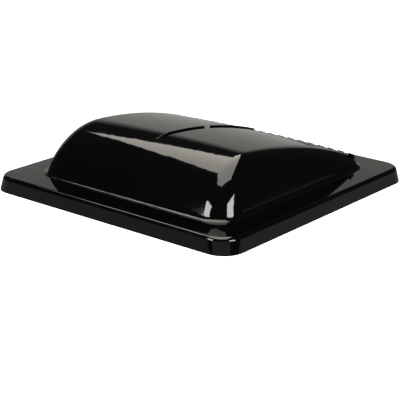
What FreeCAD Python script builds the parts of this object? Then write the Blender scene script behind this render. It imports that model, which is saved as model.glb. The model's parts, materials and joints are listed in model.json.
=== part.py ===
"""Vented lid for a square roof vent: domed cover, hinge, crank-arm track and screened air path.

Frame: millimetres, +Z up. The origin is the centre of the square skirt's bottom plane.
-Y is the tall front of the dome, +Y is the louvred, hinged rear.
"""
import math
import os

import FreeCAD
import Part

V = FreeCAD.Vector

# Flange and skirt
LID = 415.0
SKIRT_H = 21.0
SKIRT_DRAFT = 3.9
CORNER_R = 30.0
RIM_R = 5.0
WALL = 3.0
FLANGE_UNDER = SKIRT_H - WALL

# Dome: toe outline at the flange, wall drafts, roof arc and the bends' radii
DOME_HALF_X = 165.4
DOME_FRONT = -160.1
DOME_REAR = 167.9
END_DRAFT = math.radians(12.0)
FRONT_DRAFT = math.radians(18.8)
REAR_DRAFT = math.radians(16.5)
CREST_Z = 89.8
CREST_Y = -100.0
ROOF_R = 675.0
ROOF_FRONT_ANGLE = 13.0
ROOF_SWEEP_ANGLE = 40.0
ROOF_HALF_X = 210.0
CROWN_R = 3500.0
FRONT_BEND_R = 92.0
REAR_BEND_R = 38.0
END_BEND_R = 35.0
FOOT_R = 8.0
INNER_FOOT_R = 5.0
BLOCK_LOW = -60.0
BLOCK_HIGH = 130.0

# Centre ridge, in two runs
RIDGE_W = 3.0
RIDGE_PROUD = 2.2
RIDGE_EDGE_R = 0.8
RIDGE_RUNS = ((-99.0, 2.0), (17.5, 118.0))

# Rear ribs with air slots between them
RIB_COUNT = 18
RIB_PITCH = 17.5
RIB_W = 4.0
RIB_PROUD = 0.6
RIB_START_Y = 145.0
SLOT_START_Y = 147.0
FIN_END_Y = 155.5
FIN_PROUD = 1.0
SLOT_SILL_Z = 27.0

# Bosses that hang from the roof
BOSS_R = 4.5
PILOT_R = 1.4
SCREW_R = 1.75
PILOT_DEPTH = 8.0

# Seal under the flange
SEAL_HALF = 177.0
SEAL_W = 10.0
SEAL_H = 8.0
SEAL_CORNER_R = 18.0
SEAL_EDGE_R = 2.0

# Hinge strip under the rear flange
HINGE_Y = 186.0
HINGE_LEN = 300.0
KNUCKLE_R = 2.8
KNUCKLE_GAP = 0.5
LEAF_T = 1.2
ROD_R = 1.5
ROD_CLEAR = 0.05
ROD_HEAD_R = 2.4
ROD_HEAD_T = 1.2
ROD_HEAD_EDGE_R = 0.7
LID_LEAF_END_Y = 199.0
BASE_LEAF_LOW = 1.5
HINGE_Z = FLANGE_UNDER - KNUCKLE_R
RIVET_X = (-120.0, -40.0, 40.0, 120.0)
RIVET_Y = 193.5
RIVET_R = 2.4
RIVET_HEAD_R = 4.4
RIVET_HEAD_H = 1.5
RIVET_WASHER_R = 5.4
RIVET_WASHER_T = 0.8
BASE_HOLE_X = (-120.0, -40.0, 40.0, 120.0)
BASE_HOLE_Z = 6.4
BASE_HOLE_R = 1.9

# Crank-arm track
TRACK_TOP = 60.0
TRACK_Y = (-90.0, 70.0)
TRACK_HALF_W = 11.0
TRACK_H = 13.4
TRACK_T = 1.4
TRACK_LIP_X = 5.0
TRACK_SCREW_X = 18.0
TRACK_SCREWS = tuple((side * TRACK_SCREW_X, y) for y in (-70.0, 50.0) for side in (-1, 1))
EAR_HALF = 8.0
EAR_CORNER_R = 3.0
BUMPER_T = 3.0
BLOCK_Y = 52.0
BLOCK_HALF_LEN = 12.0
BLOCK_CLEAR = 0.3
NECK_HALF_W = 4.6
LUG_HALF_W = 6.5
LUG_HALF_LEN = 8.0
ARM_HOLE_Z = 36.0
BUSH_R = 4.6
ARM_HOLE_R = 3.2
BUSH_FLANGE_R = 6.0
BUSH_FLANGE_T = 0.8

# Rain tray behind the slots
TRAY_FRONT_Y = 121.0
TRAY_REAR_Y = 166.0
TRAY_HALF_X = 149.0
TRAY_T = 2.0
TRAY_FRONT_Z = 30.0
TRAY_REAR_Z = 25.0
TRAY_SEAL_T = 1.2
TRAY_SCREW_X = (-131.25, -43.75, 43.75, 131.25)
TRAY_SCREW_Y = 140.0
WINDOW_COUNT = 6
WINDOW_PITCH = 43.0
WINDOW_W = 37.0
WINDOW_Z = (34.5, 42.5)
MESH_T = 0.6
FRAME_T = 2.4
FRAME_HALF_X = 130.0
FRAME_LOW = 31.5
FRAME_HIGH = 45.0
FRAME_SCREW_Z = 38.5

# Pan-head screws
HEAD_R = 3.6
HEAD_H = 2.2
WASHER_R = 4.6
WASHER_T = 0.8
HEAD_EDGE_R = 1.2
RECESS_R = 1.3
RECESS_SHARE = 0.6
UP_SCREW_LEN = 9.0
FRAME_SCREW_LEN = 5.0


def box(x0, x1, y0, y1, z0, z1):
    return Part.makeBox(x1 - x0, y1 - y0, z1 - z0, V(x0, y0, z0))


def rod(radius, start, end):
    axis = end - start
    return Part.makeCylinder(radius, axis.Length, start, axis)


def upright(radius, x, y, z0, z1):
    return rod(radius, V(x, y, z0), V(x, y, z1))


def through_y(radius, x, y, z):
    """Drill along Y that goes well past both faces of a thin wall at y."""
    return rod(radius, V(x, y - 5, z), V(x, y + 5, z))


def fuse_all(shapes):
    first = shapes[0]
    if len(shapes) == 1:
        return first
    return first.multiFuse(shapes[1:]).removeSplitter()


def rounded_rectangle(half_x, y0, y1, radius, z):
    """Closed wire of a rectangle with arc corners, at height z."""
    edges = []
    centres = [
        (half_x - radius, y1 - radius, 0.0),
        (-half_x + radius, y1 - radius, 90.0),
        (-half_x + radius, y0 + radius, 180.0),
        (half_x - radius, y0 + radius, 270.0),
    ]
    arcs = []
    for cx, cy, start in centres:
        points = []
        for step in (0.0, 45.0, 90.0):
            angle = math.radians(start + step)
            points.append(V(cx + radius * math.cos(angle), cy + radius * math.sin(angle), z))
        arcs.append(points)
    for index, points in enumerate(arcs):
        edges.append(Part.Arc(*points).toShape())
        following = arcs[(index + 1) % 4]
        edges.append(Part.LineSegment(points[2], following[0]).toShape())
    return Part.Wire(edges)


def prism(half, radius, z0, z1):
    """Upright square prism with rounded corners."""
    face = Part.Face(rounded_rectangle(half, -half, half, radius, z0))
    return face.extrude(V(0, 0, z1 - z0))


def skirt_block(inset, top):
    """Drafted square block with a rounded top rim, inset from the outer skirt."""
    rim = RIM_R - inset if inset < RIM_R else 1.0
    low = -1.0 if inset else 0.0
    sections = []
    for z in (low, top):
        half = LID / 2 - inset - SKIRT_DRAFT * z / SKIRT_H
        sections.append(rounded_rectangle(half, -half, half, CORNER_R - inset, z))
    block = Part.makeLoft(sections, True, True)
    rim_edges = []
    for edge in block.Edges:
        if abs(edge.BoundBox.ZMin - top) < 1e-4:
            rim_edges.append(edge)
    return block.makeFillet(rim, rim_edges)


def roof_solid(inset):
    """Everything under the roof: a slightly crowned section swept along the roof's arc."""
    low = BLOCK_LOW * 3
    top = CREST_Z - inset
    radius = CROWN_R - inset
    side = top - radius + math.sqrt(radius ** 2 - ROOF_HALF_X ** 2)
    left_top = V(-ROOF_HALF_X, CREST_Y, side)
    left_low = V(-ROOF_HALF_X, CREST_Y, low)
    right_low = V(ROOF_HALF_X, CREST_Y, low)
    right_top = V(ROOF_HALF_X, CREST_Y, side)
    edges = [
        Part.LineSegment(left_top, left_low).toShape(),
        Part.LineSegment(left_low, right_low).toShape(),
        Part.LineSegment(right_low, right_top).toShape(),
        Part.Arc(right_top, V(0, CREST_Y, top), left_top).toShape(),
    ]
    section = Part.Face(Part.Wire(edges))
    centre = V(0, CREST_Y, CREST_Z - ROOF_R)
    section.rotate(centre, V(1, 0, 0), ROOF_FRONT_ANGLE)
    return section.revolve(centre, V(1, 0, 0), -ROOF_SWEEP_ANGLE)


def wall_block(inset):
    """Frustum of the dome's four drafted walls."""
    wires = []
    for z in (BLOCK_LOW, BLOCK_HIGH):
        rise = z - SKIRT_H
        half = DOME_HALF_X - inset / math.cos(END_DRAFT) - rise * math.tan(END_DRAFT)
        front = DOME_FRONT + inset / math.cos(FRONT_DRAFT) + rise * math.tan(FRONT_DRAFT)
        rear = DOME_REAR - inset / math.cos(REAR_DRAFT) - rise * math.tan(REAR_DRAFT)
        corners = [V(-half, front, z), V(half, front, z), V(half, rear, z), V(-half, rear, z)]
        wires.append(Part.makePolygon(corners + corners[:1]))
    return Part.makeLoft(wires, True, True)


def cross_edges(shape, low_z):
    """Edges above low_z that run across the dome along X."""
    found = []
    for edge in shape.Edges:
        bounds = edge.BoundBox
        if bounds.ZMin > low_z and bounds.XLength > 200.0:
            found.append(edge)
    return found


def dome_core(inset):
    """Dome with its front and rear bends but square ends."""
    core = roof_solid(inset).common(wall_block(inset)).removeSplitter()
    across = cross_edges(core, SKIRT_H)
    front = [edge for edge in across if edge.BoundBox.YMax < CREST_Y]
    core = core.makeFillet(FRONT_BEND_R - inset, front)
    across = cross_edges(core, SKIRT_H)
    rear = [edge for edge in across if edge.BoundBox.YMin > 0.0]
    return core.makeFillet(REAR_BEND_R - inset, rear)


def end_wall_distance(point, inset):
    """Distance of a point inside the nearer end wall's plane."""
    across = (abs(point.x) - DOME_HALF_X) * math.cos(END_DRAFT)
    return across + (point.z - SKIRT_H) * math.sin(END_DRAFT) + inset


def dome_solid(inset):
    """Whole dome, rounded all round, standing on a plane well below the flange."""
    core = dome_core(inset)
    ends = []
    for edge in core.Edges:
        first, last = edge.ParameterRange
        points = [edge.valueAt(first + (last - first) * part) for part in (0.0, 0.3, 0.7, 1.0)]
        on_end = all(abs(end_wall_distance(point, inset)) < 1e-3 for point in points)
        lowest = max(point.z for point in points) < BLOCK_LOW + 1.0
        if on_end and not lowest:
            ends.append(edge)
    return core.makeFillet(END_BEND_R - inset, ends)


def above(shape, z):
    return shape.common(box(-250, 250, -250, 250, z, 200))


def foot_edges(shape, z):
    """Edges of the dome's toe where it meets a horizontal plane at height z."""
    found = []
    for edge in shape.Edges:
        bounds = edge.BoundBox
        level = abs(bounds.ZMin - z) < 1e-3 and abs(bounds.ZMax - z) < 1e-3
        inside = max(abs(bounds.XMin), abs(bounds.XMax), abs(bounds.YMin), abs(bounds.YMax)) < 172.0
        if level and inside:
            found.append(edge)
    return found


def rib_positions():
    first = -(RIB_COUNT - 1) / 2 * RIB_PITCH
    return [first + index * RIB_PITCH for index in range(RIB_COUNT)]


def boss_places():
    """Every boss as (x, y, height of its lower end)."""
    places = []
    for x, y in TRACK_SCREWS:
        places.append((x, y, TRACK_TOP))
    for x in TRAY_SCREW_X:
        places.append((x, TRAY_SCREW_Y, tray_floor_top(TRAY_SCREW_Y - BOSS_R)))
    return places


def ridge_run(y0, y1):
    """One run of the centre ridge, with its long top edges rounded, still solid underneath."""
    bar = box(-RIDGE_W / 2, RIDGE_W / 2, y0, y1, SKIRT_H, CREST_Z + 5).common(dome_solid(-RIDGE_PROUD))
    edges = []
    for edge in bar.Edges:
        bounds = edge.BoundBox
        if bounds.XLength < 1e-3 and bounds.YLength > 5.0 and bounds.ZMax > SKIRT_H + 1.0:
            edges.append(edge)
    return bar.makeFillet(RIDGE_EDGE_R, edges)


def lid_shell():
    """One moulding: skirt, flange, dome, centre ridge, rear ribs and slots, and bosses."""
    outer = skirt_block(0.0, SKIRT_H).fuse(above(dome_solid(0.0), SKIRT_H / 2)).removeSplitter()
    outer = outer.makeFillet(FOOT_R, foot_edges(outer, SKIRT_H))
    cavity = skirt_block(WALL, FLANGE_UNDER).fuse(above(dome_solid(WALL), 2.0)).removeSplitter()
    cavity = cavity.makeFillet(INNER_FOOT_R, foot_edges(cavity, FLANGE_UNDER))

    roof = dome_solid(WALL / 2)
    additions = []
    for x, y, low in boss_places():
        additions.append(upright(BOSS_R, x, y, low, CREST_Z).common(roof))
    rib_body = dome_solid(-RIB_PROUD)
    fin_body = roof_solid(-FIN_PROUD)
    under_roof = dome_solid(WALL)
    for x in rib_positions():
        left = x - RIB_W / 2
        right = x + RIB_W / 2
        slab = box(left, right, RIB_START_Y, DOME_REAR, SLOT_SILL_Z - 2.0, CREST_Z)
        additions.append(slab.common(rib_body).cut(under_roof))
        fin = box(left, right, RIB_START_Y, FIN_END_Y, SLOT_SILL_Z, CREST_Z)
        additions.append(fin.common(fin_body).cut(under_roof))
    for y0, y1 in RIDGE_RUNS:
        additions.append(ridge_run(y0, y1).cut(under_roof))

    shell = outer.cut(cavity)
    slots = []
    for left, right in zip(rib_positions()[:-1], rib_positions()[1:]):
        slots.append(box(left + RIB_W / 2, right - RIB_W / 2, SLOT_START_Y, 180.0, SLOT_SILL_Z, CREST_Z))
    shell = shell.cut(Part.makeCompound(slots))
    shell = shell.multiFuse(additions)

    holes = []
    for x, y, low in boss_places():
        holes.append(upright(PILOT_R, x, y, low, low + PILOT_DEPTH))
    for x in RIVET_X:
        holes.append(upright(RIVET_R, x, RIVET_Y, 0.0, SKIRT_H + 5))
    return shell.cut(Part.makeCompound(holes)).removeSplitter()


def perimeter_gasket():
    """Sponge ring stuck under the flange, with rounded lower edges."""
    half = SEAL_HALF + SEAL_W / 2
    inner = SEAL_HALF - SEAL_W / 2
    low = FLANGE_UNDER - SEAL_H
    ring = prism(half, SEAL_CORNER_R + SEAL_W / 2, low, FLANGE_UNDER)
    ring = ring.cut(prism(inner, SEAL_CORNER_R - SEAL_W / 2, low, FLANGE_UNDER))
    edges = [edge for edge in ring.Edges if abs(edge.BoundBox.ZMax - low) < 1e-4]
    return ring.makeFillet(SEAL_EDGE_R, edges)


def knuckle_spans():
    """X spans of the five knuckles, from left to right; the odd ones belong to the base leaf."""
    step = HINGE_LEN / 5
    spans = []
    for index in range(5):
        start = -HINGE_LEN / 2 + index * step
        left = start + (KNUCKLE_GAP / 2 if index > 0 else 0.0)
        right = start + step - (KNUCKLE_GAP / 2 if index < 4 else 0.0)
        spans.append((left, right))
    return spans


def knuckle(span, radius):
    return rod(radius, V(span[0], HINGE_Y, HINGE_Z), V(span[1], HINGE_Y, HINGE_Z))


def hinge_bore():
    half = HINGE_LEN / 2 + 5.0
    return rod(ROD_R + ROD_CLEAR, V(-half, HINGE_Y, HINGE_Z), V(half, HINGE_Y, HINGE_Z))


def lid_hinge_leaf():
    """Leaf that lies flat against the underside of the rear flange."""
    half = HINGE_LEN / 2
    relief = KNUCKLE_R + 0.6
    plate = box(-half, half, HINGE_Y + relief, LID_LEAF_END_Y, FLANGE_UNDER - LEAF_T, FLANGE_UNDER)
    parts = [plate]
    for span in knuckle_spans()[0::2]:
        parts.append(box(span[0], span[1], HINGE_Y, HINGE_Y + relief, FLANGE_UNDER - LEAF_T, FLANGE_UNDER))
        parts.append(knuckle(span, KNUCKLE_R))
    holes = [hinge_bore()]
    for x in RIVET_X:
        holes.append(upright(RIVET_R, x, RIVET_Y, 0.0, SKIRT_H))
    return fuse_all(parts).cut(Part.makeCompound(holes))


def base_hinge_leaf():
    """Leaf that hangs against the vent's upstand and is screwed to it."""
    half = HINGE_LEN / 2
    radius = KNUCKLE_R - 0.1
    face_y = HINGE_Y - radius
    relief = KNUCKLE_R + 0.6
    parts = [box(-half, half, face_y, face_y + LEAF_T, BASE_LEAF_LOW, HINGE_Z - relief)]
    for span in knuckle_spans()[1::2]:
        parts.append(box(span[0], span[1], face_y, face_y + LEAF_T, HINGE_Z - relief, HINGE_Z))
        parts.append(knuckle(span, radius))
    holes = [hinge_bore()]
    for x in BASE_HOLE_X:
        holes.append(through_y(BASE_HOLE_R, x, HINGE_Y, BASE_HOLE_Z))
    return fuse_all(parts).cut(Part.makeCompound(holes))


def hinge_rod():
    """Rod with a peened head at each end."""
    end = HINGE_LEN / 2
    parts = [rod(ROD_R, V(-end, HINGE_Y, HINGE_Z), V(end, HINGE_Y, HINGE_Z))]
    for side in (-1, 1):
        start = V(side * end, HINGE_Y, HINGE_Z)
        head = rod(ROD_HEAD_R, start, start + V(side * ROD_HEAD_T, 0, 0))
        tip = side * (end + ROD_HEAD_T)
        outer_rim = [edge for edge in head.Edges if abs(edge.BoundBox.Center.x - tip) < 0.01]
        parts.append(head.makeFillet(ROD_HEAD_EDGE_R, outer_rim))
    return fuse_all(parts)


def domed_head(radius, height, centre, up):
    """Shallow round-topped disc standing on centre, along +Z or -Z."""
    sphere_r = (radius ** 2 + height ** 2) / (2 * height)
    ball = Part.makeSphere(sphere_r, centre + V(0, 0, up * (height - sphere_r)))
    low = centre.z if up > 0 else centre.z - height
    return ball.common(upright(radius, centre.x, centre.y, low, low + height))


def hinge_rivets():
    """Rivets through washer, flange and leaf."""
    top = SKIRT_H + RIVET_WASHER_T
    low = FLANGE_UNDER - LEAF_T
    rivets = []
    for x in RIVET_X:
        shank = upright(RIVET_R, x, RIVET_Y, low, top)
        head = domed_head(RIVET_HEAD_R, RIVET_HEAD_H, V(x, RIVET_Y, top), 1)
        tail = domed_head(RIVET_HEAD_R - 0.6, RIVET_HEAD_H - 0.2, V(x, RIVET_Y, low), -1)
        rivets.append(fuse_all([shank, head, tail]))
    return Part.makeCompound(rivets)


def rivet_washers():
    """Backing washers on top of the plastic flange."""
    washers = []
    for x in RIVET_X:
        disc = upright(RIVET_WASHER_R, x, RIVET_Y, SKIRT_H, SKIRT_H + RIVET_WASHER_T)
        washers.append(disc.cut(upright(RIVET_R, x, RIVET_Y, SKIRT_H - 1, SKIRT_H + 5)))
    return Part.makeCompound(washers)


def lift_track():
    """Folded steel channel, open below, with screw ears and turned-down ends."""
    y0, y1 = TRACK_Y
    low = TRACK_TOP - TRACK_H
    half = TRACK_HALF_W
    parts = [box(-half, half, y0, y1, TRACK_TOP - TRACK_T, TRACK_TOP)]
    for side in (-1, 1):
        outer = side * half
        wall = sorted((outer, outer - side * TRACK_T))
        lip = sorted((outer, side * TRACK_LIP_X))
        parts.append(box(wall[0], wall[1], y0, y1, low, TRACK_TOP))
        parts.append(box(lip[0], lip[1], y0, y1, low, low + TRACK_T))
    for y in (y0, y1 - TRACK_T):
        parts.append(box(-half, half, y, y + TRACK_T, low, TRACK_TOP))
    for x, y in TRACK_SCREWS:
        tip = x + math.copysign(EAR_HALF, x)
        span = sorted((0.0, tip))
        parts.append(box(span[0], span[1], y - EAR_HALF, y + EAR_HALF, TRACK_TOP - TRACK_T, TRACK_TOP))
    track = fuse_all(parts)
    corners = []
    for edge in track.Edges:
        bounds = edge.BoundBox
        ear_tip = abs(abs(bounds.Center.x) - TRACK_SCREW_X - EAR_HALF) < 1e-3
        if ear_tip and bounds.ZLength > 1.0 and bounds.YLength < 1e-4:
            corners.append(edge)
    track = track.makeFillet(EAR_CORNER_R, corners)
    holes = [upright(SCREW_R, x, y, 0.0, CREST_Z) for x, y in TRACK_SCREWS]
    return track.cut(Part.makeCompound(holes))


def track_inside():
    """Inner half width, floor and ceiling of the channel."""
    return TRACK_HALF_W - TRACK_T, TRACK_TOP - TRACK_H + TRACK_T, TRACK_TOP - TRACK_T


def track_bumpers():
    """Rubber blocks that stop the slider at both ends of the channel."""
    half, low, high = track_inside()
    blocks = []
    for start in (TRACK_Y[0] + TRACK_T, TRACK_Y[1] - TRACK_T - BUMPER_T):
        blocks.append(box(-half, half, start, start + BUMPER_T, low, high))
    return Part.makeCompound(blocks)


def slide_block():
    """Plastic slider with a neck through the channel's slot and a lug for the arm's pin."""
    half, low, high = track_inside()
    y0 = BLOCK_Y - BLOCK_HALF_LEN
    y1 = BLOCK_Y + BLOCK_HALF_LEN
    body = box(-half + BLOCK_CLEAR, half - BLOCK_CLEAR, y0, y1, low + BLOCK_CLEAR, high - BLOCK_CLEAR)
    upright_edges = [edge for edge in body.Edges if edge.BoundBox.ZLength > 5.0]
    body = body.makeFillet(1.5, upright_edges)
    neck_low = low - TRACK_T - BLOCK_CLEAR
    neck = box(-NECK_HALF_W, NECK_HALF_W, BLOCK_Y - LUG_HALF_LEN, BLOCK_Y + LUG_HALF_LEN, neck_low, low + 1.0)
    lug = box(-LUG_HALF_W, LUG_HALF_W, BLOCK_Y - LUG_HALF_LEN, BLOCK_Y + LUG_HALF_LEN, ARM_HOLE_Z, neck_low)
    tip = rod(LUG_HALF_LEN, V(-LUG_HALF_W, BLOCK_Y, ARM_HOLE_Z), V(LUG_HALF_W, BLOCK_Y, ARM_HOLE_Z))
    bore = rod(BUSH_R, V(-20, BLOCK_Y, ARM_HOLE_Z), V(20, BLOCK_Y, ARM_HOLE_Z))
    return fuse_all([body, neck, lug, tip]).cut(bore)


def slide_bush():
    """Flanged brass bush pressed into the lug."""
    centre = V(0, BLOCK_Y, ARM_HOLE_Z)
    side = V(LUG_HALF_W, 0, 0)
    lip = V(BUSH_FLANGE_T, 0, 0)
    sleeve = rod(BUSH_R, centre - side - lip, centre + side)
    flange = rod(BUSH_FLANGE_R, centre - side - lip, centre - side)
    bore = rod(ARM_HOLE_R, centre - side * 3, centre + side * 3)
    return fuse_all([sleeve, flange]).cut(bore)


def tray_floor_top(y):
    """Height of the tray floor's upper face at y."""
    slope = (TRAY_REAR_Z - TRAY_FRONT_Z) / (TRAY_REAR_Y - TRAY_FRONT_Y)
    return TRAY_FRONT_Z + TRAY_T + slope * (y - TRAY_FRONT_Y)


def tray_solid(y0, y1, x_half, lower, upper):
    """Prism along X under the roof: its floor is parallel to the tray's floor."""
    corners = [
        V(-x_half, y0, tray_floor_top(y0) + lower),
        V(-x_half, y1, tray_floor_top(y1) + lower),
        V(-x_half, y1, upper),
        V(-x_half, y0, upper),
        V(-x_half, y0, tray_floor_top(y0) + lower),
    ]
    return Part.Face(Part.makePolygon(corners)).extrude(V(2 * x_half, 0, 0))


def window_centres():
    first = -(WINDOW_COUNT - 1) / 2 * WINDOW_PITCH
    return [first + index * WINDOW_PITCH for index in range(WINDOW_COUNT)]


def frame_screw_centres():
    centres = window_centres()
    inner = [(left + right) / 2 for left, right in zip(centres[:-1], centres[1:])]
    return inner[0::2]


def window_cuts(y0, y1):
    cuts = []
    for x in window_centres():
        cuts.append(box(x - WINDOW_W / 2, x + WINDOW_W / 2, y0, y1, WINDOW_Z[0], WINDOW_Z[1]))
    return cuts


def baffle_tray():
    """Tray under the slots: sloping floor, end walls, and a front wall with air windows."""
    limit = dome_solid(WALL + TRAY_SEAL_T)
    outer = tray_solid(TRAY_FRONT_Y, TRAY_REAR_Y, TRAY_HALF_X, -TRAY_T, CREST_Z)
    hollow = tray_solid(TRAY_FRONT_Y + TRAY_T, TRAY_REAR_Y + 5, TRAY_HALF_X - TRAY_T, 0.0, CREST_Z + 5)
    cuts = [hollow]
    cuts.extend(window_cuts(TRAY_FRONT_Y - 5, TRAY_FRONT_Y + TRAY_T + 1))
    for x in TRAY_SCREW_X:
        cuts.append(upright(SCREW_R, x, TRAY_SCREW_Y, 0.0, CREST_Z))
    for x in frame_screw_centres():
        cuts.append(through_y(PILOT_R, x, TRAY_FRONT_Y, FRAME_SCREW_Z))
    return outer.common(limit).cut(Part.makeCompound(cuts))


def tray_seal():
    """Foam strip squeezed between the tray's rim and the roof."""
    outer = tray_solid(TRAY_FRONT_Y, SLOT_START_Y, TRAY_HALF_X, 6.0, CREST_Z)
    hollow = tray_solid(TRAY_FRONT_Y + TRAY_T, TRAY_REAR_Y, TRAY_HALF_X - TRAY_T, 0.0, CREST_Z + 5)
    strip = outer.cut(hollow).common(dome_solid(WALL)).cut(dome_solid(WALL + TRAY_SEAL_T))
    return strip


def insect_screen():
    """Woven mesh panel over the tray's windows."""
    half = FRAME_HALF_X - 2.0
    mesh = box(-half, half, TRAY_FRONT_Y - MESH_T, TRAY_FRONT_Y, FRAME_LOW + 1.0, FRAME_HIGH - 1.0)
    holes = []
    for x in frame_screw_centres():
        holes.append(through_y(SCREW_R, x, TRAY_FRONT_Y, FRAME_SCREW_Z))
    return mesh.cut(Part.makeCompound(holes))


def screen_frame():
    """Bezel that clamps the mesh to the tray."""
    back = TRAY_FRONT_Y - MESH_T
    plate = box(-FRAME_HALF_X, FRAME_HALF_X, back - FRAME_T, back, FRAME_LOW, FRAME_HIGH)
    corners = [edge for edge in plate.Edges if edge.BoundBox.YLength > 1.0]
    plate = plate.makeFillet(3.0, corners)
    cuts = window_cuts(back - 5, back + 5)
    for x in frame_screw_centres():
        cuts.append(through_y(SCREW_R, x, back, FRAME_SCREW_Z))
    return plate.cut(Part.makeCompound(cuts))


def pan_screw(head_at, direction, length, shank_r):
    """Pan-head screw: head_at is the middle of the bearing face, direction the way it drives."""
    head = rod(HEAD_R, head_at - direction * HEAD_H, head_at)
    rim = [edge for edge in head.Edges if edge.Length > 1.0]
    far = [edge for edge in rim if (edge.BoundBox.Center - head_at).Length > HEAD_H / 2 and edge.Closed]
    head = head.makeFillet(HEAD_EDGE_R, far)
    shank = rod(shank_r, head_at, head_at + direction * length)
    recess_depth = HEAD_H * RECESS_SHARE
    recess = rod(RECESS_R, head_at - direction * (HEAD_H + 1), head_at - direction * (HEAD_H - recess_depth))
    return fuse_all([head, shank]).cut(recess)


def upward_screws(places, seat_z):
    """Screws that drive straight up into the bosses, with their heads under seat_z."""
    screws = []
    for x, y in places:
        screws.append(pan_screw(V(x, y, seat_z), V(0, 0, 1), UP_SCREW_LEN, PILOT_R))
    return Part.makeCompound(screws)


def track_washers():
    low = TRACK_TOP - TRACK_T - WASHER_T
    washers = []
    for x, y in TRACK_SCREWS:
        disc = upright(WASHER_R, x, y, low, low + WASHER_T)
        washers.append(disc.cut(upright(SCREW_R, x, y, low - 1, low + 3)))
    return Part.makeCompound(washers)


def track_screws():
    low = TRACK_TOP - TRACK_T - WASHER_T
    return upward_screws(TRACK_SCREWS, low)


def tray_screws():
    low = tray_floor_top(TRAY_SCREW_Y + HEAD_R) - TRAY_T
    return upward_screws([(x, TRAY_SCREW_Y) for x in TRAY_SCREW_X], low)


def screen_screws():
    front = TRAY_FRONT_Y - MESH_T - FRAME_T
    screws = []
    for x in frame_screw_centres():
        screws.append(pan_screw(V(x, front, FRAME_SCREW_Z), V(0, 1, 0), FRAME_SCREW_LEN, PILOT_R))
    return Part.makeCompound(screws)


BUILDERS = (
    lid_shell,
    perimeter_gasket,
    lid_hinge_leaf,
    base_hinge_leaf,
    hinge_rod,
    hinge_rivets,
    rivet_washers,
    lift_track,
    track_bumpers,
    track_screws,
    track_washers,
    slide_block,
    slide_bush,
    baffle_tray,
    tray_seal,
    tray_screws,
    insect_screen,
    screen_frame,
    screen_screws,
)


def main():
    os.makedirs("parts", exist_ok=True)
    for build in BUILDERS:
        shape = build()
        if not shape.isValid():
            raise ValueError(build.__name__ + " is not a valid shape")
        shape.exportStep(os.path.join("parts", build.__name__ + ".step"))
        bounds = shape.BoundBox
        spans = (bounds.XMin, bounds.XMax, bounds.YMin, bounds.YMax, bounds.ZMin, bounds.ZMax)
        volume = round(shape.Volume / 1000, 2)
        print(build.__name__, len(shape.Solids), "solids", volume, "cm3", [round(v, 1) for v in spans])


main()
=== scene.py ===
"""Looks for the vented roof vent lid: studio stage, camera, procedural materials and woven mesh."""

import json
import math

import bmesh
import bpy
from mathutils import Matrix, Vector


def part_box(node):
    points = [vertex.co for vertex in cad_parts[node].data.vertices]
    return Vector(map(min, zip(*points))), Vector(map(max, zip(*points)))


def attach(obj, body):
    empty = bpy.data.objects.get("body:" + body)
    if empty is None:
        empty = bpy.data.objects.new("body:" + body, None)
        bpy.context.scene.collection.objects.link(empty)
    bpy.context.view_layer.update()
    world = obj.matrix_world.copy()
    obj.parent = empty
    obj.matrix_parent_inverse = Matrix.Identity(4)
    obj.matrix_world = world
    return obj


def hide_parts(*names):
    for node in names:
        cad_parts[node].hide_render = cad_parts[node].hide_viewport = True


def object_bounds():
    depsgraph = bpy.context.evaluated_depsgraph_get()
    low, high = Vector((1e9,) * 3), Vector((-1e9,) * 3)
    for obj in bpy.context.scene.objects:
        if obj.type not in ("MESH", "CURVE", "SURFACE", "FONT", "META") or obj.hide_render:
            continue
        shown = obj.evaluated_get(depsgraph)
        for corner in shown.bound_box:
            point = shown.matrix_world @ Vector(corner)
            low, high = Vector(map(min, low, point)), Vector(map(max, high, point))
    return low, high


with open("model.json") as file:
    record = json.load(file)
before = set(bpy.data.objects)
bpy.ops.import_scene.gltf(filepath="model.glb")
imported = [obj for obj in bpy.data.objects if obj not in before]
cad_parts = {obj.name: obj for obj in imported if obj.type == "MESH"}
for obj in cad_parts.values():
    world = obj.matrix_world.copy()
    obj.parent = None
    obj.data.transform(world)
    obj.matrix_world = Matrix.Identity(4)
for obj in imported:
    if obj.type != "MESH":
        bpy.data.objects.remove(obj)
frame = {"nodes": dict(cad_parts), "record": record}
cad_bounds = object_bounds()

MM = 0.001


def radians(*degrees):
    """Angles in radians, as a tuple."""
    return tuple(math.radians(angle) for angle in degrees)


# Camera: a long lens, seen from the front right and a little above
VIEW_AZIMUTH, VIEW_ELEVATION, VIEW_ROLL = radians(39.105, 18.214, 0.491)
CAMERA_PLACE = Vector((1.1065, -1.3664, 0.5781))
CAMERA_LENS = 118.55
CAMERA_SHIFT_Y = -0.04
CAMERA_REACH = 200.0

# Studio: brightness and colour of each surface as the glossy lid sees it
WHITE = (1.0, 1.0, 1.0)
WARM_WHITE = (1.0, 0.96, 0.86)
PALE_WARM = (1.0, 0.985, 0.93)
SOFTBOX_GLOW = 4.0
BACKDROP_GLOW = 0.45
STRIP_GLOW = 12.0
CARD_GLOW = 0.3
UNDER_GLOW = 1.6
TABLE_GLOW = 0.24
FLOOR_GLOW = 0.85
ROOM_GLOW = 0.035

# Overhead softbox: its outline as X and Y per metre of height
SOFTBOX_HEIGHT = 5.0
SOFTBOX_OUTLINE = (
    (-1.03, 0.33), (-0.25, -0.42), (0.07, -0.42), (0.36, -0.05),
    (-0.5, 0.87), (-0.88, 1.3), (-0.83, 0.75), (-0.9, 0.5),
)

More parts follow.
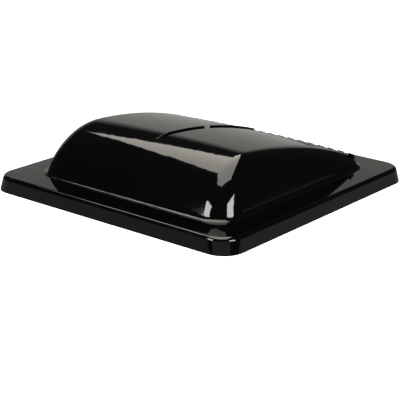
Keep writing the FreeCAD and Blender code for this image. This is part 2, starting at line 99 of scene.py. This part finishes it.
# Upright panels: left and right compass angle, then low and high elevation, seen from the lid
STRIP_DISTANCE = 2.5
RIGHT_STRIP = radians(86.0, 112.0, 8.0, 34.0)
FRONT_STRIP = radians(-173.0, -147.0, 16.0, 34.0)
FRONT_CARD = radians(112.0, 187.0, -0.5, 12.0)
BACKDROP_DISTANCE = 3.0
BACKDROP_SPAN = radians(-80.0, -18.0)
BACKDROP_FADE = radians(14.0, 26.0)

# Level panels, as half sides: softbox below, floor, and table top with its opening under the lid
UNDER_HALF = 0.7
UNDER_DEPTH = 1.6
FLOOR_HALF = 40.0
TABLE_HALF = 0.43
TABLE_HOLE_HALF = 0.2
TABLE_DROP = 1.0 * MM

# Insect mesh
WIRE_PITCH = 1.9 * MM
WIRE_RADIUS = 0.14 * MM
WIRE_LIFT = 0.9 * WIRE_RADIUS
WIRE_SIDES = 4

# Noise is given as scale, detail and stretch. Its values mostly lie from low to high.
NOISE_LOW = 0.3
NOISE_HIGH = 0.7
EVEN = (1.0, 1.0, 1.0)
ALONG_X = (0.04, 1.0, 1.0)
ALONG_Y = (1.0, 0.04, 1.0)
TURNED = (6.0, 1.0, 1.0)

# Pale floor
FLOOR_DARK = (0.86, 0.86, 0.86)
FLOOR_LIGHT = (0.9, 0.9, 0.9)
FLOOR_GRAIN = (6.0, 3.0, EVEN)

# Gloss black shell: each noise, the roughness it gives, and the part of the noise that gives it
PLASTIC_IOR = 1.5
SHELL_DARK = (0.0008, 0.0008, 0.0009)
SHELL_LIGHT = (0.0014, 0.0014, 0.0015)
HAZE = (9.0, 4.0, EVEN)
HAZE_ROUGH = (0.035, 0.06)
DUST = (900.0, 2.0, EVEN)
DUST_ROUGH = (0.0, 0.10)
DUST_RANGE = (0.68, 0.78)
SCRATCHES = (60.0, 5.0, (1.0, 14.0, 3.0))
SCRATCH_ROUGH = (0.0, 0.035)
SCRATCH_RANGE = (0.62, 0.75)
FLOW_WAVES = (16.0, 1.0, EVEN)
FLOW_DEPTH = 0.06 * MM

# Other finishes, by the record's slot. Tone is the noise of the colour. Grain is the noise of the
# roughness and the bump, and depth is how deep the bump is.
FINISHES = {
    "sponge_black": dict(
        name="sponge_cells", dark=(0.012, 0.012, 0.013), light=(0.03, 0.03, 0.032),
        rough=(0.8, 0.95), tone=(120.0, 3.0, EVEN), grain=(1400.0, 4.0, EVEN), depth=0.4 * MM),
    "hinge_steel": dict(
        name="zinc_rolled_x", dark=(0.46, 0.46, 0.44), light=(0.68, 0.68, 0.66), metallic=1.0,
        rough=(0.25, 0.42), tone=(45.0, 4.0, EVEN), grain=(900.0, 3.0, ALONG_X), depth=0.03 * MM),
    "rivet_alloy": dict(
        name="rivet_satin", dark=(0.62, 0.62, 0.63), light=(0.8, 0.8, 0.81), metallic=1.0,
        rough=(0.3, 0.45), tone=(300.0, 3.0, EVEN), grain=(1500.0, 3.0, EVEN), depth=0.03 * MM),
    "track_steel": dict(
        name="zinc_rolled_y", dark=(0.42, 0.43, 0.44), light=(0.66, 0.66, 0.67), metallic=1.0,
        rough=(0.25, 0.42), tone=(60.0, 4.0, EVEN), grain=(900.0, 3.0, ALONG_Y), depth=0.03 * MM),
    "screw_steel": dict(
        name="screw_zinc", dark=(0.5, 0.5, 0.47), light=(0.72, 0.72, 0.68), metallic=1.0,
        rough=(0.2, 0.38), tone=(500.0, 3.0, EVEN), grain=(1800.0, 3.0, EVEN), depth=0.03 * MM),
    "bumper_rubber": dict(
        name="rubber_matt", dark=(0.015, 0.015, 0.016), light=(0.035, 0.035, 0.036),
        rough=(0.6, 0.8), tone=(200.0, 3.0, EVEN), grain=(1200.0, 3.0, EVEN), depth=0.1 * MM),
    "slider_nylon": dict(
        name="nylon_natural", dark=(0.62, 0.59, 0.5), light=(0.76, 0.74, 0.66),
        rough=(0.35, 0.5), tone=(90.0, 4.0, EVEN), grain=(700.0, 3.0, EVEN), depth=0.06 * MM),
    "bush_brass": dict(
        name="brass_turned", dark=(0.55, 0.38, 0.14), light=(0.78, 0.58, 0.28), metallic=1.0,
        rough=(0.2, 0.35), tone=(300.0, 3.0, EVEN), grain=(2200.0, 2.0, TURNED), depth=0.03 * MM),
    "tray_plastic": dict(
        name="tray_fine_texture", dark=(0.02, 0.02, 0.022), light=(0.04, 0.04, 0.043),
        rough=(0.42, 0.6), tone=(35.0, 4.0, EVEN), grain=(1300.0, 3.0, EVEN), depth=0.08 * MM),
    "seal_foam": dict(
        name="foam_open_cell", dark=(0.03, 0.03, 0.033), light=(0.075, 0.075, 0.08),
        rough=(0.85, 0.98), tone=(250.0, 3.0, EVEN), grain=(2000.0, 4.0, EVEN), depth=0.3 * MM),
    "mesh_alloy": dict(
        name="mesh_wire", dark=(0.2, 0.2, 0.21), light=(0.36, 0.36, 0.37), metallic=1.0,
        rough=(0.3, 0.5), tone=(400.0, 2.0, EVEN), grain=(2500.0, 2.0, EVEN), depth=0.02 * MM),
    "frame_plastic": dict(
        name="frame_fine_texture", dark=(0.028, 0.028, 0.03), light=(0.055, 0.055, 0.058),
        rough=(0.4, 0.58), tone=(50.0, 4.0, EVEN), grain=(1500.0, 3.0, EVEN), depth=0.08 * MM),
}


def new_material(name):
    """New material with an empty node tree; returns it with its tree and output node."""
    material = bpy.data.materials.new(name)
    material.use_nodes = True
    tree = material.node_tree
    tree.nodes.clear()
    return material, tree, tree.nodes.new("ShaderNodeOutputMaterial")


def noise(tree, scale, detail, stretch):
    """Noise in the object's own metres; stretch draws it out along an axis."""
    place = tree.nodes.new("ShaderNodeTexCoord")
    mapping = tree.nodes.new("ShaderNodeMapping")
    mapping.inputs["Scale"].default_value = stretch
    texture = tree.nodes.new("ShaderNodeTexNoise")
    texture.inputs["Scale"].default_value = scale
    texture.inputs["Detail"].default_value = detail
    tree.links.new(place.outputs["Object"], mapping.inputs["Vector"])
    tree.links.new(mapping.outputs["Vector"], texture.inputs["Vector"])
    return texture.outputs["Fac"]


def spread(tree, value, low, high, start=NOISE_LOW, end=NOISE_HIGH):
    """Maps the range start to end of a value onto the range low to high."""
    ramp = tree.nodes.new("ShaderNodeMapRange")
    ramp.inputs["From Min"].default_value = start
    ramp.inputs["From Max"].default_value = end
    ramp.inputs["To Min"].default_value = low
    ramp.inputs["To Max"].default_value = high
    tree.links.new(value, ramp.inputs["Value"])
    return ramp.outputs["Result"]


def tint(tree, value, dark, light):
    """Mixes two colours by a noise value."""
    mix = tree.nodes.new("ShaderNodeMix")
    mix.data_type = "RGBA"
    mix.inputs["A"].default_value = (*dark, 1.0)
    mix.inputs["B"].default_value = (*light, 1.0)
    tree.links.new(spread(tree, value, 0.0, 1.0), mix.inputs["Factor"])
    return mix.outputs["Result"]


def bump(tree, value, depth):
    """Normal of a surface that a noise value raises by up to the depth."""
    node = tree.nodes.new("ShaderNodeBump")
    node.inputs["Strength"].default_value = 1.0
    node.inputs["Distance"].default_value = depth
    tree.links.new(value, node.inputs["Height"])
    return node.outputs["Normal"]


def add(tree, first, second):
    """Sum of two values."""
    total = tree.nodes.new("ShaderNodeMath")
    tree.links.new(first, total.inputs[0])
    tree.links.new(second, total.inputs[1])
    return total.outputs["Value"]


def principled(name, metallic=0.0):
    """New material with a Principled shader; returns it with its tree and the shader."""
    material, tree, output = new_material(name)
    shader = tree.nodes.new("ShaderNodeBsdfPrincipled")
    shader.inputs["Metallic"].default_value = metallic
    shader.inputs["IOR"].default_value = PLASTIC_IOR
    tree.links.new(shader.outputs["BSDF"], output.inputs["Surface"])
    return material, tree, shader


def surface(name, dark, light, rough, tone, grain, depth, metallic=0.0):
    """Material with a mottled colour, uneven roughness and a fine bump."""
    material, tree, shader = principled(name, metallic)
    grain_value = noise(tree, *grain)
    tree.links.new(tint(tree, noise(tree, *tone), dark, light), shader.inputs["Base Color"])
    tree.links.new(spread(tree, grain_value, *rough), shader.inputs["Roughness"])
    tree.links.new(bump(tree, grain_value, depth), shader.inputs["Normal"])
    return material


def shell_plastic():
    """High-gloss black moulding: faint flow waviness, fine dust and hairline scratches."""
    material, tree, shader = principled("shell_black_gloss")
    haze = noise(tree, *HAZE)
    dust = noise(tree, *DUST)
    scratches = noise(tree, *SCRATCHES)
    rough = add(tree, spread(tree, haze, *HAZE_ROUGH), spread(tree, dust, *DUST_ROUGH, *DUST_RANGE))
    rough = add(tree, rough, spread(tree, scratches, *SCRATCH_ROUGH, *SCRATCH_RANGE))
    tree.links.new(tint(tree, haze, SHELL_DARK, SHELL_LIGHT), shader.inputs["Base Color"])
    tree.links.new(rough, shader.inputs["Roughness"])
    tree.links.new(bump(tree, noise(tree, *FLOW_WAVES), FLOW_DEPTH), shader.inputs["Normal"])
    return material


def make_finishes():
    """One material for each slot of the record."""
    finishes = {"shell_black": shell_plastic()}
    for slot, look in FINISHES.items():
        finishes[slot] = surface(**look)
    return finishes


def dress_nodes(finishes):
    """Gives every CAD node the material of its slot."""
    for part in frame["record"]["subparts"]:
        node = frame["nodes"][part["node"]]
        node.data.materials.clear()
        node.data.materials.append(finishes[part["material_slot"]])


def wire(builder, points):
    """Adds a thin closed tube along the points to the mesh being built."""
    rings = []
    for index, point in enumerate(points):
        before = points[max(index - 1, 0)]
        after = points[min(index + 1, len(points) - 1)]
        along = (after - before).normalized()
        across = along.cross(Vector((0.0, 1.0, 0.0))).normalized()
        out = along.cross(across)
        ring = []
        for side in range(WIRE_SIDES):
            turn = 2 * math.pi * side / WIRE_SIDES
            reach = math.cos(turn) * across + math.sin(turn) * out
            ring.append(builder.verts.new(point + WIRE_RADIUS * reach))
        rings.append(ring)
    for first, second in zip(rings[:-1], rings[1:]):
        for side in range(WIRE_SIDES):
            following = (side + 1) % WIRE_SIDES
            builder.faces.new((first[side], first[following], second[following], second[side]))
    builder.faces.new(list(reversed(rings[0])))
    builder.faces.new(rings[-1])


def wire_places(low, high):
    """Evenly spaced wires from low to high, kept a wire's radius inside both."""
    count = int((high - low) / WIRE_PITCH)
    step = (high - low) / count
    first = low + WIRE_RADIUS
    last = high - WIRE_RADIUS
    return [min(max(low + index * step, first), last) for index in range(count + 1)]


def woven_screen(finishes):
    """Plain-weave insect mesh: upright and level wires that pass over and under each other."""
    low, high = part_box("insect_screen")
    middle = (low.y + high.y) / 2
    columns = wire_places(low.x, high.x)
    rows = wire_places(low.z, high.z)
    over_and_under = (middle - WIRE_LIFT, middle + WIRE_LIFT)
    builder = bmesh.new()
    for column, x in enumerate(columns):
        points = [Vector((x, over_and_under[(row + column) % 2], z)) for row, z in enumerate(rows)]
        wire(builder, points)
    for row, z in enumerate(rows):
        points = []
        for column, x in enumerate(columns):
            points.append(Vector((x, over_and_under[(row + column + 1) % 2], z)))
        wire(builder, points)
    mesh = bpy.data.meshes.new("insect_mesh_woven")
    bmesh.ops.recalc_face_normals(builder, faces=builder.faces)
    builder.to_mesh(mesh)
    builder.free()
    mesh.materials.append(finishes["mesh_alloy"])
    piece = bpy.data.objects.new("insect_mesh_woven", mesh)
    bpy.context.scene.collection.objects.link(piece)
    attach(piece, "lid")
    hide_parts("insect_screen")


def emission(tree, strength, colour=WHITE):
    """Light-giving shader of one strength and colour."""
    node = tree.nodes.new("ShaderNodeEmission")
    node.inputs["Strength"].default_value = strength
    node.inputs["Color"].default_value = (*colour, 1.0)
    return node


def glow(name, strength, colour=WHITE):
    """Plain light-giving material for studio panels."""
    material, tree, output = new_material(name)
    light = emission(tree, strength, colour)
    tree.links.new(light.outputs["Emission"], output.inputs["Surface"])
    return material


def backdrop_glow():
    """Pale backdrop that fades out towards its top."""
    material, tree, output = new_material("backdrop_glow")
    place = tree.nodes.new("ShaderNodeTexCoord")
    parts = tree.nodes.new("ShaderNodeSeparateXYZ")
    tree.links.new(place.outputs["Object"], parts.inputs["Vector"])
    start, end = [BACKDROP_DISTANCE * math.tan(angle) for angle in BACKDROP_FADE]
    light = emission(tree, BACKDROP_GLOW, PALE_WARM)
    strength = spread(tree, parts.outputs["Z"], BACKDROP_GLOW, 0.0, start, end)
    tree.links.new(strength, light.inputs["Strength"])
    tree.links.new(light.outputs["Emission"], output.inputs["Surface"])
    return material


def pale_floor():
    """Bright matt floor that shows from above only, so that a view from below looks through it."""
    material, tree, output = new_material("floor_pale")
    matt = tree.nodes.new("ShaderNodeBsdfDiffuse")
    grain = noise(tree, *FLOOR_GRAIN)
    tree.links.new(tint(tree, grain, FLOOR_DARK, FLOOR_LIGHT), matt.inputs["Color"])
    both = tree.nodes.new("ShaderNodeAddShader")
    tree.links.new(matt.outputs["BSDF"], both.inputs[0])
    tree.links.new(emission(tree, FLOOR_GLOW).outputs["Emission"], both.inputs[1])
    side = tree.nodes.new("ShaderNodeNewGeometry")
    clear = tree.nodes.new("ShaderNodeBsdfTransparent")
    one_sided = tree.nodes.new("ShaderNodeMixShader")
    tree.links.new(side.outputs["Backfacing"], one_sided.inputs["Fac"])
    tree.links.new(both.outputs["Shader"], one_sided.inputs[1])
    tree.links.new(clear.outputs["BSDF"], one_sided.inputs[2])
    tree.links.new(one_sided.outputs["Shader"], output.inputs["Surface"])
    return material


def panel(name, corners, material):
    """Flat studio panel that lights the lid and shows in its gloss, but not to the camera."""
    mesh = bpy.data.meshes.new(name)
    mesh.from_pydata([tuple(corner) for corner in corners], [], [list(range(len(corners)))])
    mesh.materials.append(material)
    card = bpy.data.objects.new(name, mesh)
    card.visible_camera = False
    bpy.context.scene.collection.objects.link(card)
    return card


def square(half, level):
    """Corners of a level square about the Z axis."""
    return [(-half, -half, level), (half, -half, level), (half, half, level), (-half, half, level)]


def around(azimuth, distance, height):
    """Point at a compass angle from +Y towards +X."""
    return Vector((distance * math.sin(azimuth), distance * math.cos(azimuth), height))


def upright_panel(name, left, right, low, high, distance, material):
    """Flat upright panel between two compass angles and two elevations, seen from the lid."""
    corners = []
    for azimuth, elevation in ((left, low), (right, low), (right, high), (left, high)):
        corners.append(around(azimuth, distance, distance * math.tan(elevation)))
    panel(name, corners, material)


def make_lights():
    """Overhead softbox, pale backdrop behind, two strip lights, a dim card and a softbox below."""
    softbox = [(x * SOFTBOX_HEIGHT, y * SOFTBOX_HEIGHT, SOFTBOX_HEIGHT) for x, y in SOFTBOX_OUTLINE]
    panel("softbox_overhead", softbox, glow("softbox_glow", SOFTBOX_GLOW, WARM_WHITE))
    left, right = BACKDROP_SPAN
    pale = backdrop_glow()
    upright_panel("backdrop_behind", left, right, 0.0, BACKDROP_FADE[1], BACKDROP_DISTANCE, pale)
    foot = [
        around(left, TABLE_HALF, 0.0),
        around(right, TABLE_HALF, 0.0),
        around(right, BACKDROP_DISTANCE, 0.0),
        around(left, BACKDROP_DISTANCE, 0.0),
    ]
    panel("backdrop_foot", foot, pale)
    strip = glow("strip_glow", STRIP_GLOW)
    upright_panel("strip_right", *RIGHT_STRIP, STRIP_DISTANCE, strip)
    upright_panel("strip_front", *FRONT_STRIP, STRIP_DISTANCE, strip)
    upright_panel("card_front", *FRONT_CARD, STRIP_DISTANCE, glow("card_glow", CARD_GLOW))
    panel("softbox_under", square(UNDER_HALF, -UNDER_DEPTH), glow("under_glow", UNDER_GLOW))


def make_floor():
    """Pale floor for the camera, and a table top round the lid that the gloss sees."""
    level = cad_bounds[0][2]
    floor = panel("floor", square(FLOOR_HALF, level), pale_floor())
    floor.visible_camera = True
    floor.visible_glossy = False
    floor.visible_diffuse = False
    outer = square(TABLE_HALF, level - TABLE_DROP)
    inner = square(TABLE_HOLE_HALF, level - TABLE_DROP)
    table = glow("table_glow", TABLE_GLOW)
    for side in range(4):
        following = (side + 1) % 4
        quarter = (outer[side], outer[following], inner[following], inner[side])
        panel("table_top_%d" % (side + 1), quarter, table)


def make_world():
    """White surroundings for the camera, a dim room for everything else."""
    world = bpy.data.worlds.new("studio")
    bpy.context.scene.world = world
    world.use_nodes = True
    tree = world.node_tree
    tree.nodes.clear()
    output = tree.nodes.new("ShaderNodeOutputWorld")
    path = tree.nodes.new("ShaderNodeLightPath")
    room = tree.nodes.new("ShaderNodeBackground")
    room.inputs["Strength"].default_value = ROOM_GLOW
    white = tree.nodes.new("ShaderNodeBackground")
    white.inputs["Color"].default_value = (*WHITE, 1.0)
    mix = tree.nodes.new("ShaderNodeMixShader")
    tree.links.new(path.outputs["Is Camera Ray"], mix.inputs["Fac"])
    tree.links.new(room.outputs["Background"], mix.inputs[1])
    tree.links.new(white.outputs["Background"], mix.inputs[2])
    tree.links.new(mix.outputs["Shader"], output.inputs["Surface"])
    bpy.context.scene.view_settings.view_transform = "Standard"


def make_camera():
    """Camera that looks along the view angles, level but for a slight roll."""
    back = Vector((
        math.sin(VIEW_AZIMUTH) * math.cos(VIEW_ELEVATION),
        -math.cos(VIEW_AZIMUTH) * math.cos(VIEW_ELEVATION),
        math.sin(VIEW_ELEVATION),
    ))
    right = Vector((0.0, 0.0, 1.0)).cross(back).normalized()
    up = back.cross(right)
    rolled_right = math.cos(VIEW_ROLL) * right + math.sin(VIEW_ROLL) * up
    rolled_up = math.cos(VIEW_ROLL) * up - math.sin(VIEW_ROLL) * right
    data = bpy.data.cameras.new("camera")
    data.lens = CAMERA_LENS
    data.shift_y = CAMERA_SHIFT_Y
    data.clip_end = CAMERA_REACH
    camera = bpy.data.objects.new("camera", data)
    turn = Matrix((rolled_right, rolled_up, back)).transposed().to_4x4()
    camera.matrix_world = Matrix.Translation(CAMERA_PLACE) @ turn
    bpy.context.scene.collection.objects.link(camera)
    bpy.context.scene.camera = camera


make_camera()
finishes = make_finishes()
dress_nodes(finishes)
woven_screen(finishes)
make_lights()
make_floor()
make_world()

bpy.context.view_layer.update()
